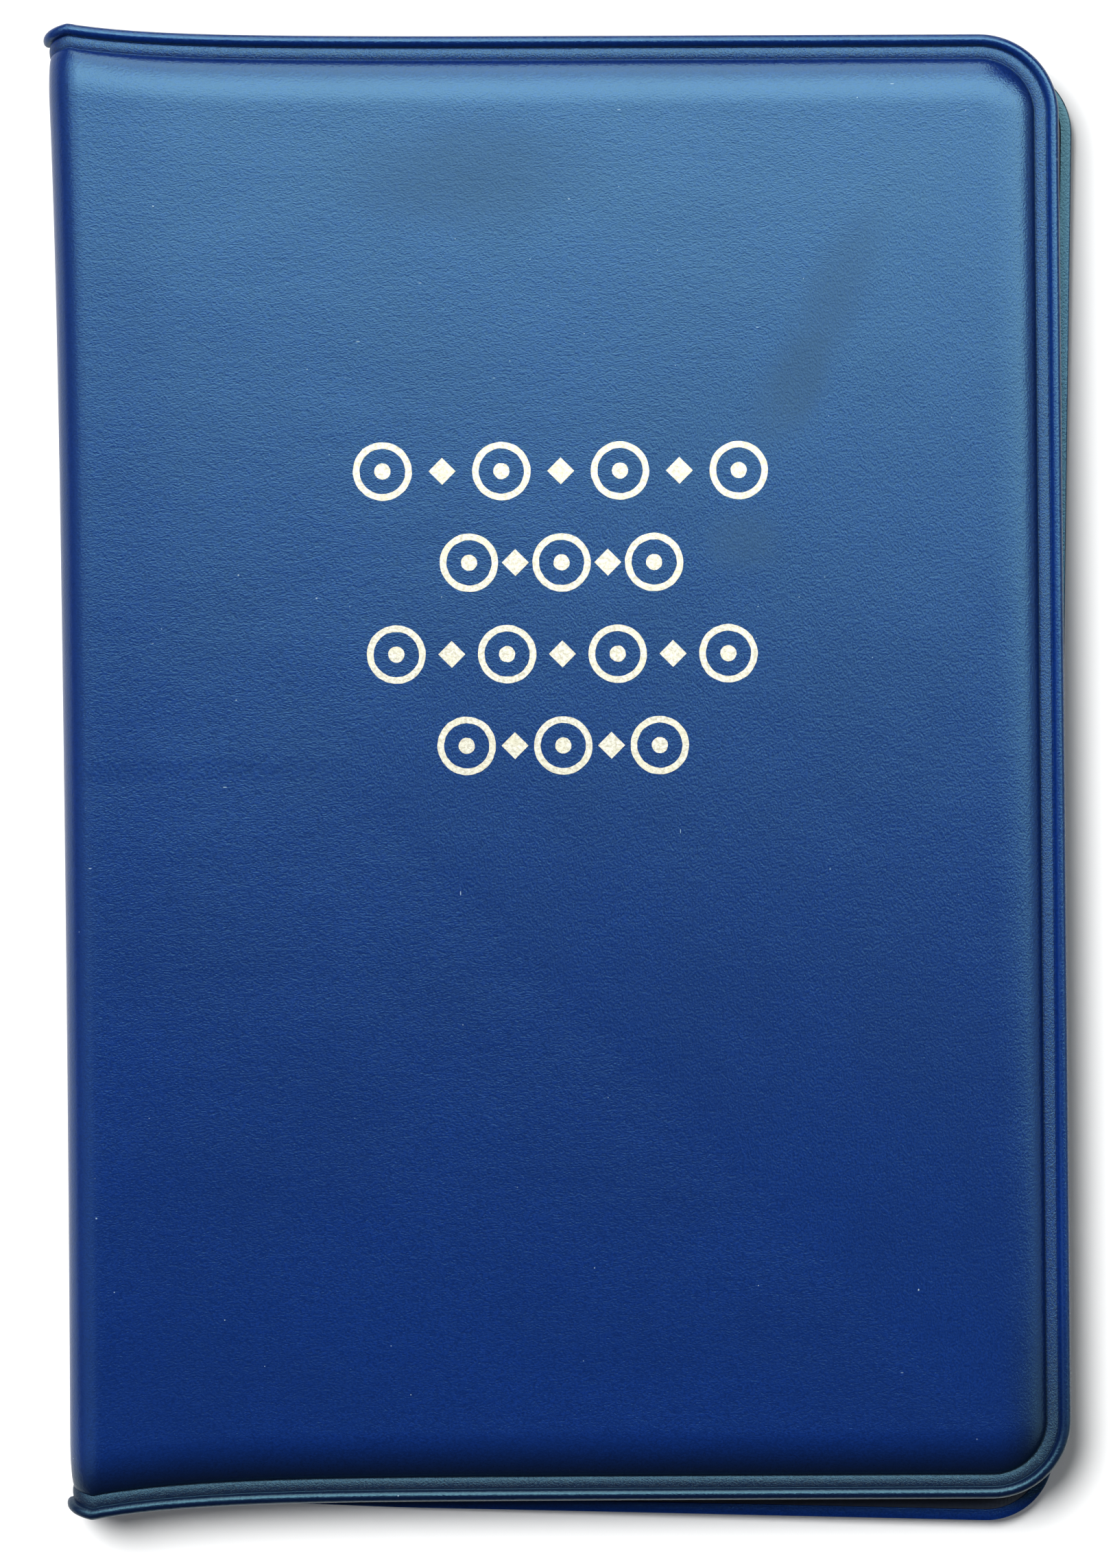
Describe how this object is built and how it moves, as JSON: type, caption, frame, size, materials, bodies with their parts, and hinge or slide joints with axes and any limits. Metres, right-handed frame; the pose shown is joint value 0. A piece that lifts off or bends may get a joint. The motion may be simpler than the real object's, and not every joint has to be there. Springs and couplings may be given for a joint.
{
  "type": "coin album",
  "caption": "Pocket coin album with padded blue vinyl covers, gold foil ornament, a card pocket and a windowed page of coins.",
  "frame": {"origin": "middle of the closed album's plan outline, on the resting face of the back cover", "axes": "+X from the fold towards the fore-edge, +Y towards the head, +Z out of the front cover"},
  "size_m": [0.1019, 0.1481, 0.0071],
  "materials": {
    "cover_vinyl": "satin, fine grain",
    "lining_vinyl": "matte",
    "padding_foam": "matte",
    "greyboard": "matte",
    "clear_film": "clear",
    "printed_card": "matte",
    "gold_foil": "satin foil",
    "cupronickel": "satin",
    "coin_bronze": "satin"
  },
  "bodies": {
    "back_cover": {"back_skin": "cover_vinyl", "back_foam": "padding_foam", "back_board": "greyboard", "back_lining": "lining_vinyl"},
    "spine": {"spine_skin": "cover_vinyl", "spine_lining": "lining_vinyl", "binding_strip": "lining_vinyl"},
    "front_cover": {"front_skin": "cover_vinyl", "front_foam": "padding_foam", "front_board": "greyboard", "front_lining": "lining_vinyl", "card_pocket": "clear_film", "foil_ornament": "gold_foil"},
    "coin_page": {"page_front_sheet": "lining_vinyl", "page_front_film": "clear_film", "page_core": "greyboard", "page_back_film": "clear_film", "page_back_sheet": "lining_vinyl", "coin_ten": "cupronickel", "coin_five": "cupronickel", "coin_two": "coin_bronze", "coin_one": "coin_bronze", "coin_half": "coin_bronze"},
    "info_card": {"info_card": "printed_card"}
  },
  "joints": [
    {"name": "spine_fold", "type": "hinge", "parent": "back_cover", "child": "spine", "pos_m": [-0.04994, 0, 0.00076], "axis": [0.0253, -0.9997, 0], "range_deg": [0, 90], "deforming": ["spine_skin", "spine_lining"]},
    {"name": "cover_fold", "type": "hinge", "parent": "spine", "child": "front_cover", "pos_m": [-0.04994, 0, 0.00629], "axis": [0.0253, -0.9997, 0], "range_deg": [0, 90]},
    {"name": "page_turn", "type": "hinge", "parent": "spine", "child": "coin_page", "pos_m": [-0.04857, 0, 0.0032], "axis": [0.0096, -1, 0], "range_deg": [-45, 0]},
    {"name": "card_slide", "type": "slide", "parent": "front_cover", "child": "info_card", "axis": [-0.0192, 0.9998, 0], "range_m": [0, 0.115]}
  ],
  "couplings": [
    {"joint": "spine_fold", "follows": "cover_fold", "ratio": 1},
    {"joint": "page_turn", "follows": "cover_fold", "ratio": -0.5}
  ]
}
